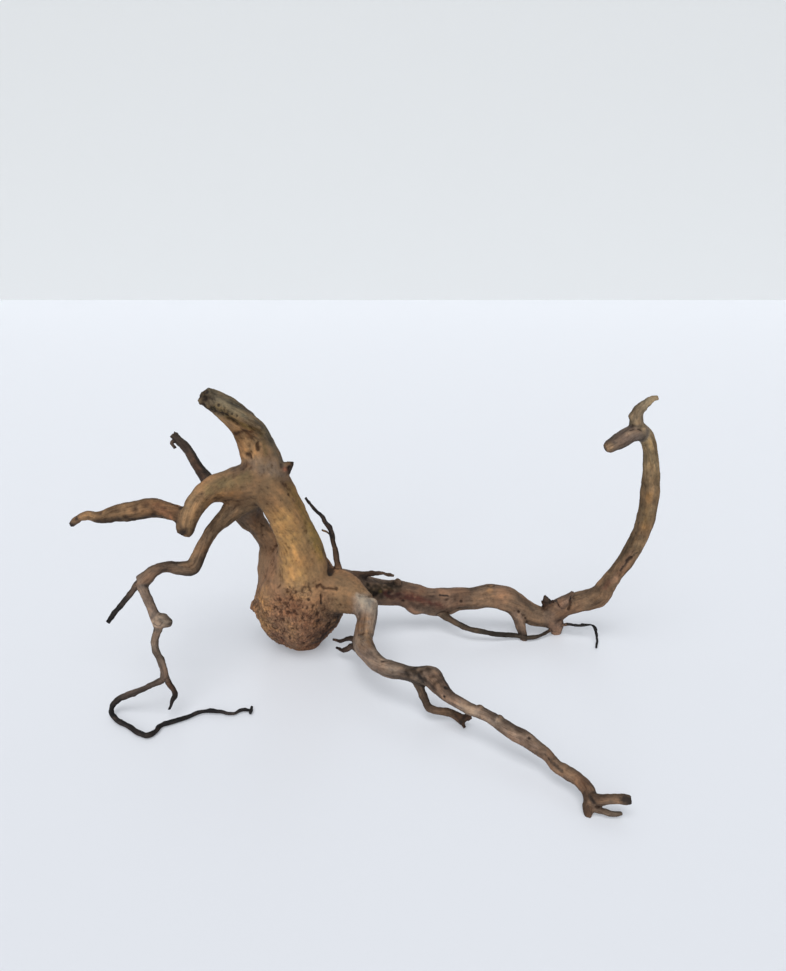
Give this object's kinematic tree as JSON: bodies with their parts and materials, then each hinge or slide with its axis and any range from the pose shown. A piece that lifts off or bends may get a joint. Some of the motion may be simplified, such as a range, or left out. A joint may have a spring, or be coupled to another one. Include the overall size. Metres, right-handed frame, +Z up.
{
  "type": "dry root",
  "caption": "Dry peeled tree root: a crumbly burl carrying a forked trunk with a broken horn, crooked left limbs, and long right roots ending in a claw and a curled head.",
  "frame": {"origin": "on the ground, inside the flat that the burl rests on", "axes": "+X to the right, along the long right root; +Y away from the front; +Z up"},
  "size_m": [0.5443, 0.2919, 0.2605],
  "materials": {
    "peeled_wood": "dry weathered bare wood, matt, ochre on the smooth trunk, red-brown and crumbly on the burl, near black at the thin rootlets"
  },
  "bodies": {
    "root": {"root": "peeled_wood"}
  },
  "joints": []
}
